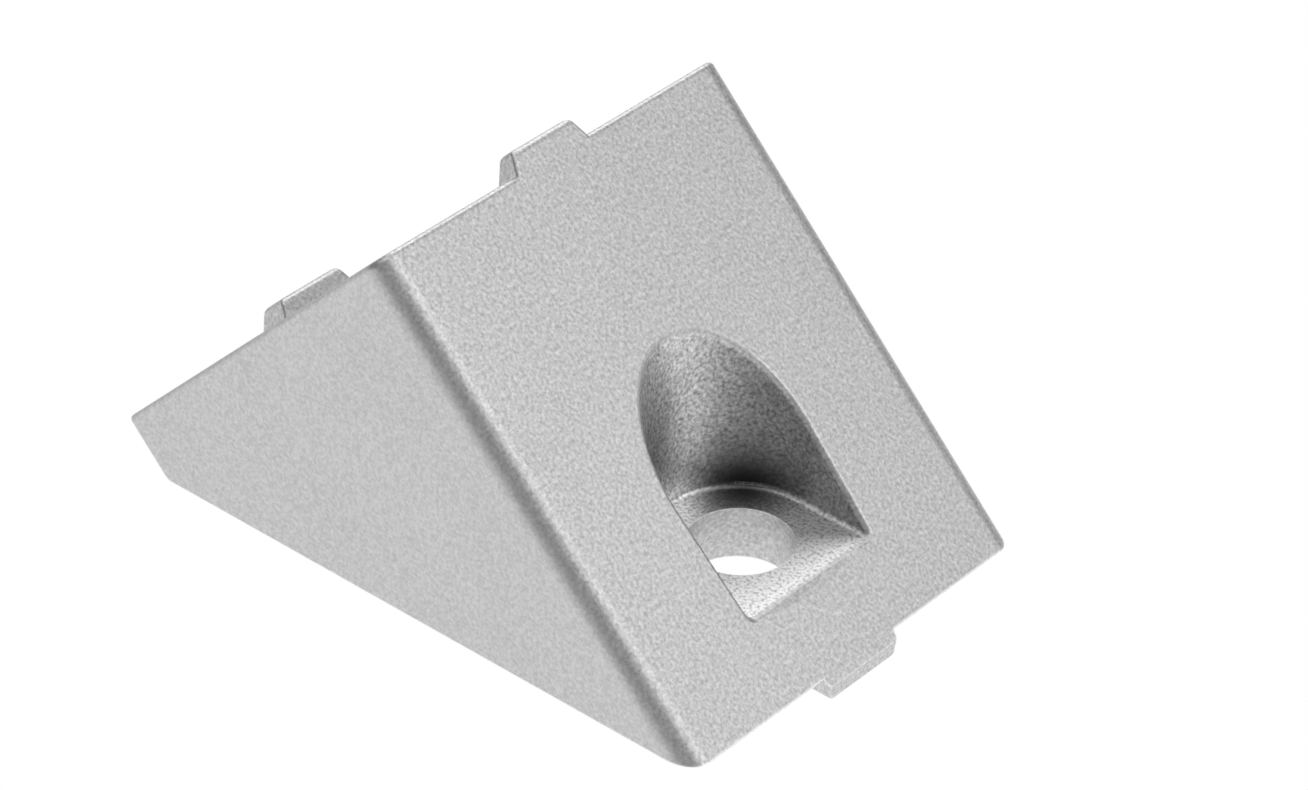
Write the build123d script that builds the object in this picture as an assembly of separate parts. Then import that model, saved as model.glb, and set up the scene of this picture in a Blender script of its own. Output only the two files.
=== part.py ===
from build123d import *
import os
from math import cos, radians, sin, tan

# One-piece die-cast 45 degree bracket that fixes the sawn end of a T-slot profile to the side of another.
# Frame: the base face lies on z = 0 with the base screw at the origin, X runs along the groove
# from the thin tip to the heel, Y runs across the grooves and Z points up through the base screw.

# Wedge
width = 40.0            # across the grooves, the same as the profile
face_length = 39.7      # end face along its groove, just inside the profile's outline
wedge_angle = 45.0      # between the end face and the base face
tip_wall = 6.0          # blunt end of the wedge

# Screws
bore_diameter = 8.8     # clearance for an M8 screw
floor_wall = 4.8        # metal under each screw head
heel_to_bore = 12.3     # heel edge to the axis of the base screw
head_width = 14.7       # head pocket in the closing face, at its floor
pocket_draft = 3.5      # that pocket widens upwards, degrees
rear_head_width = 13.6  # round head pocket of the end face screw, at its floor
rear_draft = 1.0        # degrees

# Lugs that sit in the grooves and stop the bracket turning
lug_width = 8.2         # at the root, for an 8 mm groove
lug_height = 1.85
lug_flank = 22.0        # slope of the two flanks, degrees from upright
lug_back = 30.0         # slope of the end that looks towards the tip
lug_root = 0.7          # how deep its foot runs into the metal
crest_lug_length = 2.8  # along the groove at the root, its front in line with the closing face
tip_lug_length = 4.0
tip_lug_overhang = 0.5  # past the tip end of each face
heel_lug_length = 3.6
heel_lug_overhang = 0.6  # upright nose past the heel edge
heel_lug_width = 8.6
heel_lug_height = 2.2
heel_lug_flank = 12.0

# Rounded edges
side_round = 2.0        # closing face to the two sides
crest_round = 0.5       # closing face to the end face, and on along the sides of the end face
tip_round = 1.0         # blunt end to the base face
floor_round = 0.5       # foot of the pocket wall
mouth_round = 0.4       # mouth of that pocket in the closing face
lug_round = 0.6         # crest of each lug
lug_corner = 0.3        # its two front corners
sill_width = 12.8       # worn strip in front of the pocket floor, widest at its middle
sill_depth = 0.14
sill_slope = 35.0       # of that strip, degrees down from the floor

closing_length = tip_wall + face_length * tan(radians(wedge_angle))
face_run = Vector(cos(radians(wedge_angle)), 0, sin(radians(wedge_angle)))     # tip to crest
closing_run = Vector(sin(radians(wedge_angle)), 0, -cos(radians(wedge_angle)))  # crest to heel
heel = Vector(heel_to_bore, 0, 0)
crest = heel - closing_run * closing_length
top_tip = crest - face_run * face_length
low_tip = top_tip + closing_run * tip_wall
base_length = (heel - low_tip).length

# Each mating face has X along its groove, towards the tip, and Z out of the metal.
base_face = Plane(origin=heel, x_dir=(-1, 0, 0), z_dir=(0, 0, -1))
end_face = Plane(origin=crest, x_dir=-face_run, z_dir=-closing_run)
closing_face = Plane(origin=heel, x_dir=closing_run, z_dir=face_run)


def flat_face(part, face_plane):
    """The part's flat face that lies in face_plane and looks the same way."""
    def fits(face):
        offset = face_plane.to_local_coords(face.center())
        return abs(offset.Z) < 0.01 and face.normal_at().dot(face_plane.z_dir) > 0.99
    return part.faces().filter_by(GeomType.PLANE).filter_by(fits)[0]


def cross_edge(part, point):
    """The part's edge that runs along Y through point."""
    return part.edges().filter_by(Axis.Y).sort_by_distance(point)[0]


def wedge():
    """Right trapezoid from the tip to the closing face, with its outer edges rounded."""
    outline = make_face(Polyline(low_tip, heel, crest, top_tip, close=True))
    block = extrude(outline, width / 2, both=True)
    closing_sides = flat_face(block, closing_face).edges().filter_by(Axis((0, 0, 0), closing_run))
    block = fillet(closing_sides, side_round)
    block = fillet(cross_edge(block, crest), crest_round)
    return fillet(cross_edge(block, low_tip), tip_round)


def screw_bore(face_plane, distance):
    """Through bore square to a mating face, at a distance from its heel or crest end."""
    bore = Cylinder(bore_diameter / 2, 2 * floor_wall)
    return face_plane.location * Pos(distance, 0, 0) * bore


def base_head_pocket():
    """Half-round pocket over the base screw, open through the closing face."""
    mouth_run = Rectangle(heel_to_bore, head_width, align=(Align.MIN, Align.CENTER))
    foot = Pos(0, 0, floor_wall) * (Circle(head_width / 2) + mouth_run)
    pocket = extrude(foot, crest.Z - floor_wall, taper=-pocket_draft)
    foot_edges = pocket.edges().group_by(Axis.Z)[0].sort_by(Axis.X)[:-1]
    return fillet(foot_edges, floor_round)


def sill_scoop():
    """Thin lens cut along the front edge of the pocket floor, mostly on the closing face side."""
    middle = heel - closing_run * (floor_wall / -closing_run.Z)
    slope = radians(sill_slope)
    across = Plane(origin=middle, x_dir=(0, 1, 0), z_dir=(cos(slope), 0, -sin(slope)))
    ends = [(-sill_width / 2, 0), (sill_width / 2, 0)]
    deepest = middle - Vector(sin(slope), 0, cos(slope)) * sill_depth
    arc = ThreePointArc(across.from_local_coords(ends[0]), deepest, across.from_local_coords(ends[1]))
    lens = make_face([arc, Line(arc @ 1, arc @ 0)])
    return extrude(lens, floor_wall / 2, both=True)


def end_head_pocket():
    """Round pocket over the end face screw, open through the base face."""
    foot = Pos(face_length / 2, 0, -floor_wall) * Circle(rear_head_width / 2)
    return end_face.location * extrude(foot, -closing_length, taper=-rear_draft)


def lug(face_plane, start, length, width=lug_width, height=lug_height, flank=lug_flank):
    """Tapered lug across the middle of a mating face, upright at the end nearer the closing face."""
    tooth = Trapezoid(width, height, 90 - flank, align=(Align.CENTER, Align.MIN))
    root = Rectangle(width, lug_root, align=(Align.CENTER, Align.MAX))
    body = Pos(start, 0, 0) * extrude(Plane.YZ * (tooth + root), length)
    back = radians(lug_back)
    back_plane = Plane(origin=(start + length, 0, 0), z_dir=(cos(back), 0, sin(back)))
    body = split(body, bisect_by=back_plane, keep=Keep.BOTTOM)
    body = fillet(body.faces().sort_by(Axis.Z)[-1].edges(), lug_round)
    front_corners = body.faces().sort_by(Axis.X)[0].edges().filter_by(GeomType.LINE).filter_by(leaning)
    body = fillet(front_corners, lug_corner)
    return split(face_plane.location * body, bisect_by=closing_face, keep=Keep.BOTTOM)


def leaning(edge):
    """True for a flank edge of a lug, which runs up from the root and leans inwards."""
    low, high = edge.bounding_box().min, edge.bounding_box().max
    return high.Z > 0.01 and high.Z - low.Z > 0.01


def bracket():
    body = wedge() - base_head_pocket()
    mouth = flat_face(body, closing_face).inner_wires()[0]
    body = fillet(mouth.edges(), mouth_round)
    body -= sill_scoop()
    body -= end_head_pocket()
    body -= screw_bore(base_face, heel_to_bore)
    body -= screw_bore(end_face, face_length / 2)
    tip_lug_back = tip_lug_length - tip_lug_overhang
    body += lug(end_face, 0, crest_lug_length)
    body += lug(end_face, face_length - tip_lug_back, tip_lug_length)
    body += lug(base_face, base_length - tip_lug_back, tip_lug_length)
    heel_shape = (heel_lug_length, heel_lug_width, heel_lug_height, heel_lug_flank)
    body += lug(base_face, -heel_lug_overhang, *heel_shape)
    return body


os.makedirs("parts", exist_ok=True)
part = bracket()
export_step(part, "parts/bracket.step")
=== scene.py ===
from math import pi, radians

import bpy
from mathutils import Matrix, Vector


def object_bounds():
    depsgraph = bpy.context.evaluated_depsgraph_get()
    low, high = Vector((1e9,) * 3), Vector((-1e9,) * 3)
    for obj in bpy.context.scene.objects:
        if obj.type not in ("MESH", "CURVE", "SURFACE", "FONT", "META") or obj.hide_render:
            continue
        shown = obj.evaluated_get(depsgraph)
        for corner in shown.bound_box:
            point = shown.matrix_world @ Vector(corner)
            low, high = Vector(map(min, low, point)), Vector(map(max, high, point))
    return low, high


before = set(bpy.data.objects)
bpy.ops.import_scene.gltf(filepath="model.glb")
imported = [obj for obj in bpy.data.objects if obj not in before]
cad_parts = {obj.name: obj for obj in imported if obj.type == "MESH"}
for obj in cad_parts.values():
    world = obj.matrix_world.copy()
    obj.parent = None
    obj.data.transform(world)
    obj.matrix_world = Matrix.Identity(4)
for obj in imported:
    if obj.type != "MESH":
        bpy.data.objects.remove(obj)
cadBox = [list(corner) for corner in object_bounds()]
print("bracket frame loaded")

mm = 0.001


def linearColour(hexCode):
    # sRGB hex to the linear values that the shaders take
    parts = [int(hexCode[i:i + 2], 16) / 255 for i in (0, 2, 4)]
    return [p / 12.92 if p <= 0.04045 else ((p + 0.055) / 1.055) ** 2.4 for p in parts] + [1.0]


def addNode(tree, kind, links=None, values=None, **settings):
    # settings are the node's own properties, values fill its input sockets and links feed them
    node = tree.nodes.new(kind)
    for name, value in settings.items():
        setattr(node, name, value)
    for key, value in (values or {}).items():
        node.inputs[key].default_value = value
    for key, source in (links or {}).items():
        tree.links.new(source, node.inputs[key])
    return node


# lengths in mm, in the casting's own frame, which has the base screw on its origin
castFinish = {
    "peak": "E4E4E4",          # bead-blasted tone, lightest and darkest grain
    "valley": "B6B6B6",
    "roughness": 0.5,
    "grit": 0.3,               # grain width, coarser than real bead marks so that it shows
    "gritDepth": 0.03,
    "gritBump": 0.6,
    "contrast": 2.2,           # how far the grain swings the tone
    "sideCalm": 0.55,          # share of the grain that shows on the two sides
    "sideBlend": (1.0, 0.1),   # where that calm starts and ends, inside the side
    "cloud": 9.0,              # width of the slow drift of the tone
    "cloudSpan": (0.47, 0.53),
    "wallReflectionTone": "D8D8D8",      # painted reflection, a light band on the pocket wall the core pin dragged along, and painted shade on its side towards +Y
    "wallShadeTone": "9A9A9A",
    "wallShadeBlend": (0.5, 6.5),
    "wallRoughness": 0.4,
    "wallFoot": (0.05, 0.3),   # above the pocket floor
    "floorHighlightTone": "F4F4F4",     # pocket floor painted near white, a painted highlight
    "floorSkin": 0.1,          # depth below its level that the floor mask reaches, for the painted highlight and the painted shadow
    "cornerShadowTone": "4A4A4A",     # painted shadow where the pocket wall meets the floor
    "cornerShadowPlace": (-4.2, 5.6, 5.4),
    "cornerShadowReach": 6.5,
    "edgeWearAndHighlightTone": "FFFFFF",       # edges painted white, partly wear and partly painted highlight
    "edgeWearAndHighlightWidth": 0.22,
    "edgeWearAndHighlightTurn": (0.995, 0.93),  # cosine of the turn where the edge wear and painted highlight start and are full
    "edgeWearAndHighlightShare": 0.75,
    "floorLevel": 4.8,
    "heelReach": 12.3,         # base screw to heel edge
    "mouthBlend": (0.25, 0.75),
    "pocketBack": -10.0,
    "pocketHalf": 8.8,
    "halfWidth": 20.0,
}


def blastedAluminium():
    # die-cast aluminium, glass-bead blasted: pale satin grey with an even grain, smoother on the wall that
    # the core pin dragged along; the pocket gets a painted reflection, painted shade, a painted shadow and a
    # painted floor highlight, and edges are painted bright, partly wear and partly painted highlight
    finish = castFinish
    material = bpy.data.materials.new("blastedAluminium")
    material.use_nodes = True
    tree = material.node_tree
    tree.nodes.clear()
    place = addNode(tree, "ShaderNodeTexCoord").outputs["Object"]
    axes = addNode(tree, "ShaderNodeSeparateXYZ", {0: place})
    x, y, z = axes.outputs["X"], axes.outputs["Y"], axes.outputs["Z"]
    across = addNode(tree, "ShaderNodeMath", {0: y}, operation="ABSOLUTE").outputs[0]

    # how deep a point lies behind the closing face, which slopes at 45 degrees
    reach = addNode(tree, "ShaderNodeMath", {0: x, 1: z}, operation="ADD").outputs[0]
    mouth = addNode(tree, "ShaderNodeMapRange", {"Value": reach}, interpolation_type="SMOOTHSTEP", values={
        "From Min": (finish["heelReach"] - finish["mouthBlend"][0]) * mm,
        "From Max": (finish["heelReach"] - finish["mouthBlend"][1]) * mm}).outputs[0]
    ahead = addNode(tree, "ShaderNodeMath", {0: x}, {1: finish["pocketBack"] * mm},
                    operation="GREATER_THAN").outputs[0]
    between = addNode(tree, "ShaderNodeMath", {0: across}, {1: finish["pocketHalf"] * mm},
                      operation="LESS_THAN").outputs[0]
    inside = addNode(tree, "ShaderNodeMath", {0: ahead, 1: between}, operation="MULTIPLY").outputs[0]
    inside = addNode(tree, "ShaderNodeMath", {0: inside, 1: mouth}, operation="MULTIPLY").outputs[0]
    aboveFloor = addNode(tree, "ShaderNodeMapRange", {"Value": z}, values={
        "From Min": (finish["floorLevel"] + finish["wallFoot"][0]) * mm,
        "From Max": (finish["floorLevel"] + finish["wallFoot"][1]) * mm}).outputs[0]
    atFloor = addNode(tree, "ShaderNodeMath", {0: z}, {1: (finish["floorLevel"] - finish["floorSkin"]) * mm},
                      operation="GREATER_THAN").outputs[0]
    wall = addNode(tree, "ShaderNodeMath", {0: inside, 1: aboveFloor}, operation="MULTIPLY").outputs[0]
    floor = addNode(tree, "ShaderNodeMath", {0: inside, 1: atFloor}, operation="MULTIPLY").outputs[0]

    grit = addNode(tree, "ShaderNodeTexNoise", {"Vector": place}, {
        "Scale": 1 / (finish["grit"] * mm), "Detail": 1.5, "Roughness": 0.6}).outputs["Fac"]
    onSide = addNode(tree, "ShaderNodeMapRange", {"Value": across}, values={
        "From Min": (finish["halfWidth"] - finish["sideBlend"][0]) * mm,
        "From Max": (finish["halfWidth"] - finish["sideBlend"][1]) * mm,
        "To Min": 1.0, "To Max": finish["sideCalm"]}).outputs[0]
    centred = addNode(tree, "ShaderNodeMath", {0: grit}, {1: 0.5}, operation="SUBTRACT").outputs[0]
    calmed = addNode(tree, "ShaderNodeMath", {0: centred, 1: onSide}, operation="MULTIPLY").outputs[0]
    cloud = addNode(tree, "ShaderNodeTexNoise", {"Vector": place}, {
        "Scale": 1 / (finish["cloud"] * mm), "Detail": 3.0, "Roughness": 0.5}).outputs["Fac"]
    drift = addNode(tree, "ShaderNodeMapRange", {"Value": cloud}, values={
        "From Min": 0.3, "From Max": 0.7,
        "To Min": finish["cloudSpan"][0], "To Max": finish["cloudSpan"][1]}).outputs[0]
    level = addNode(tree, "ShaderNodeMath", {0: calmed, 2: drift}, {1: finish["contrast"]},
                    operation="MULTIPLY_ADD").outputs[0]
    blasted = addNode(tree, "ShaderNodeMix", {"Factor": level}, {
        6: linearColour(finish["valley"]), 7: linearColour(finish["peak"])}, data_type="RGBA").outputs[2]

    # the pocket wall gets a painted reflection, light towards -Y and painted shade towards +Y, and a painted
    # shadow sits where wall and floor meet
    far = addNode(tree, "ShaderNodeMapRange", {"Value": y}, interpolation_type="SMOOTHSTEP", values={
        "From Min": finish["wallShadeBlend"][0] * mm, "From Max": finish["wallShadeBlend"][1] * mm}).outputs[0]
    wallReflectionAndShade = addNode(tree, "ShaderNodeMix", {"Factor": far}, {
        6: linearColour(finish["wallReflectionTone"]), 7: linearColour(finish["wallShadeTone"])}, data_type="RGBA").outputs[2]
    # painted shadow: a dark patch where wall and floor meet, fading with distance from one point
    spread = addNode(tree, "ShaderNodeVectorMath", {0: place}, {1: [v * mm for v in finish["cornerShadowPlace"]]},
                     operation="DISTANCE").outputs["Value"]
    cornerShadow = addNode(tree, "ShaderNodeMapRange", {"Value": spread}, interpolation_type="SMOOTHSTEP", values={
        "From Min": 0.0, "From Max": finish["cornerShadowReach"] * mm, "To Min": 1.0, "To Max": 0.0}).outputs[0]
    cornerShadow = addNode(tree, "ShaderNodeMath", {0: cornerShadow, 1: floor}, operation="MULTIPLY").outputs[0]
    speckle = addNode(tree, "ShaderNodeMath", {0: centred}, {1: finish["contrast"], 2: 1.0},
                      operation="MULTIPLY_ADD").outputs[0]
    wallReflectionAndShade = addNode(tree, "ShaderNodeVectorMath", {0: wallReflectionAndShade, 1: speckle}, operation="MULTIPLY").outputs[0]
    # painted highlight: the pocket floor is painted near white
    floorHighlight = addNode(tree, "ShaderNodeVectorMath", {0: speckle}, {1: linearColour(finish["floorHighlightTone"])[:3]},
                     operation="MULTIPLY").outputs[0]
    toned = addNode(tree, "ShaderNodeMix", {"Factor": floor, 6: blasted, 7: floorHighlight},
                    data_type="RGBA").outputs[2]
    toned = addNode(tree, "ShaderNodeMix", {"Factor": wall, 6: toned, 7: wallReflectionAndShade}, data_type="RGBA").outputs[2]
    toned = addNode(tree, "ShaderNodeMix", {"Factor": cornerShadow, 6: toned}, {
        7: linearColour(finish["cornerShadowTone"])}, data_type="RGBA").outputs[2]

    # every edge is painted bright: partly wear where handling takes the blasted skin off, partly a painted
    # highlight
    truth = addNode(tree, "ShaderNodeNewGeometry").outputs["True Normal"]
    rounded = addNode(tree, "ShaderNodeBevel",
                      values={"Radius": finish["edgeWearAndHighlightWidth"] * mm}, samples=6).outputs[0]
    turn = addNode(tree, "ShaderNodeVectorMath", {0: truth, 1: rounded},
                   operation="DOT_PRODUCT").outputs["Value"]
    edgeWearAndHighlight = addNode(tree, "ShaderNodeMapRange", {"Value": turn}, values={
        "From Min": finish["edgeWearAndHighlightTurn"][0], "From Max": finish["edgeWearAndHighlightTurn"][1],
        "To Min": 0.0, "To Max": finish["edgeWearAndHighlightShare"]}).outputs[0]
    toned = addNode(tree, "ShaderNodeMix", {"Factor": edgeWearAndHighlight, 6: toned}, {
        7: linearColour(finish["edgeWearAndHighlightTone"])}, data_type="RGBA").outputs[2]

    gloss = addNode(tree, "ShaderNodeMapRange", {"Value": wall}, values={
        "To Min": finish["roughness"], "To Max": finish["wallRoughness"]}).outputs[0]
    bump = addNode(tree, "ShaderNodeBump", {"Height": calmed}, {
        "Strength": finish["gritBump"], "Distance": finish["gritDepth"] * mm}).outputs["Normal"]
    shader = addNode(tree, "ShaderNodeBsdfPrincipled", {
        "Base Color": toned, "Roughness": gloss, "Normal": bump}, {"Metallic": 1.0})
    addNode(tree, "ShaderNodeOutputMaterial", {"Surface": shader.outputs["BSDF"]})
    return material


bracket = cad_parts["bracket"]
for slot in bracket.material_slots:
    slot.material = blastedAluminium()
print("casting finished")

studio = {
    "tableGlow": 1.0,
    "tableSize": 6.0,          # m
    "roomTone": "7A7A7A",
    "distance": 0.7,           # m, softboxes to bracket
    "boxes": {                 # direction, size in m, brightness
        "keyBox": ((0.70, 0.28, 0.62), 0.55, 1.75),
        "topBox": ((0.0, -0.2, 1.0), 0.4, 1.8),
        "backBox": ((-0.55, 0.6, 0.65), 0.5, 2.2),
    },
}


def lightTable(level):
    # opal acrylic light table: even white with no shadows
    bpy.ops.mesh.primitive_plane_add(size=studio["tableSize"], location=(0, 0, level))
    table = bpy.context.object
    table.name = "lightTable"
    material = bpy.data.materials.new("opalAcrylic")
    material.use_nodes = True
    tree = material.node_tree
    tree.nodes.clear()
    glow = addNode(tree, "ShaderNodeEmission",
                   values={"Color": (1, 1, 1, 1), "Strength": studio["tableGlow"]})
    addNode(tree, "ShaderNodeOutputMaterial", {"Surface": glow.outputs["Emission"]})
    table.data.materials.append(material)


def softbox(name, middle, direction, size, brightness):
    lamp = bpy.data.lights.new(name, "AREA")
    lamp.shape = "SQUARE"
    lamp.size = size
    lamp.energy = brightness * pi * size * size
    holder = bpy.data.objects.new(name, lamp)
    bpy.context.scene.collection.objects.link(holder)
    away = Vector(direction).normalized()
    holder.location = middle + away * studio["distance"]
    holder.rotation_euler = away.to_track_quat("Z", "Y").to_euler()
    holder.visible_camera = False


lightTable(cadBox[0][2])
middle = (Vector(cadBox[0]) + Vector(cadBox[1])) / 2
for name, (direction, size, brightness) in studio["boxes"].items():
    softbox(name, middle, direction, size, brightness)
world = bpy.data.worlds.new("room")
bpy.context.scene.world = world
world.use_nodes = True
world.node_tree.nodes["Background"].inputs["Color"].default_value = linearColour(studio["roomTone"])
print("studio lit")

view = {
    "place": (206.226, -255.416, 251.283),   # mm
    "target": (-11.503, 2.714, 12.015),
    "roll": 1.276,                            # degrees
    "lens": 143.37,                           # mm, as the sensor is
    "sensor": 36.0,
    "nearest": 0.01,                          # m
}


def aimCamera():
    lens = bpy.data.cameras.new("viewCamera")
    lens.lens = view["lens"]
    lens.sensor_width = view["sensor"]
    lens.clip_start = view["nearest"]
    camera = bpy.data.objects.new("viewCamera", lens)
    bpy.context.scene.collection.objects.link(camera)
    place = Vector(view["place"]) * mm
    aim = (Vector(view["target"]) * mm - place).to_track_quat("-Z", "Y").to_matrix().to_4x4()
    camera.matrix_world = Matrix.Translation(place) @ aim @ Matrix.Rotation(radians(view["roll"]), 4, "Z")
    bpy.context.scene.camera = camera


aimCamera()
bpy.context.scene.view_settings.view_transform = "Standard"
print("camera set")
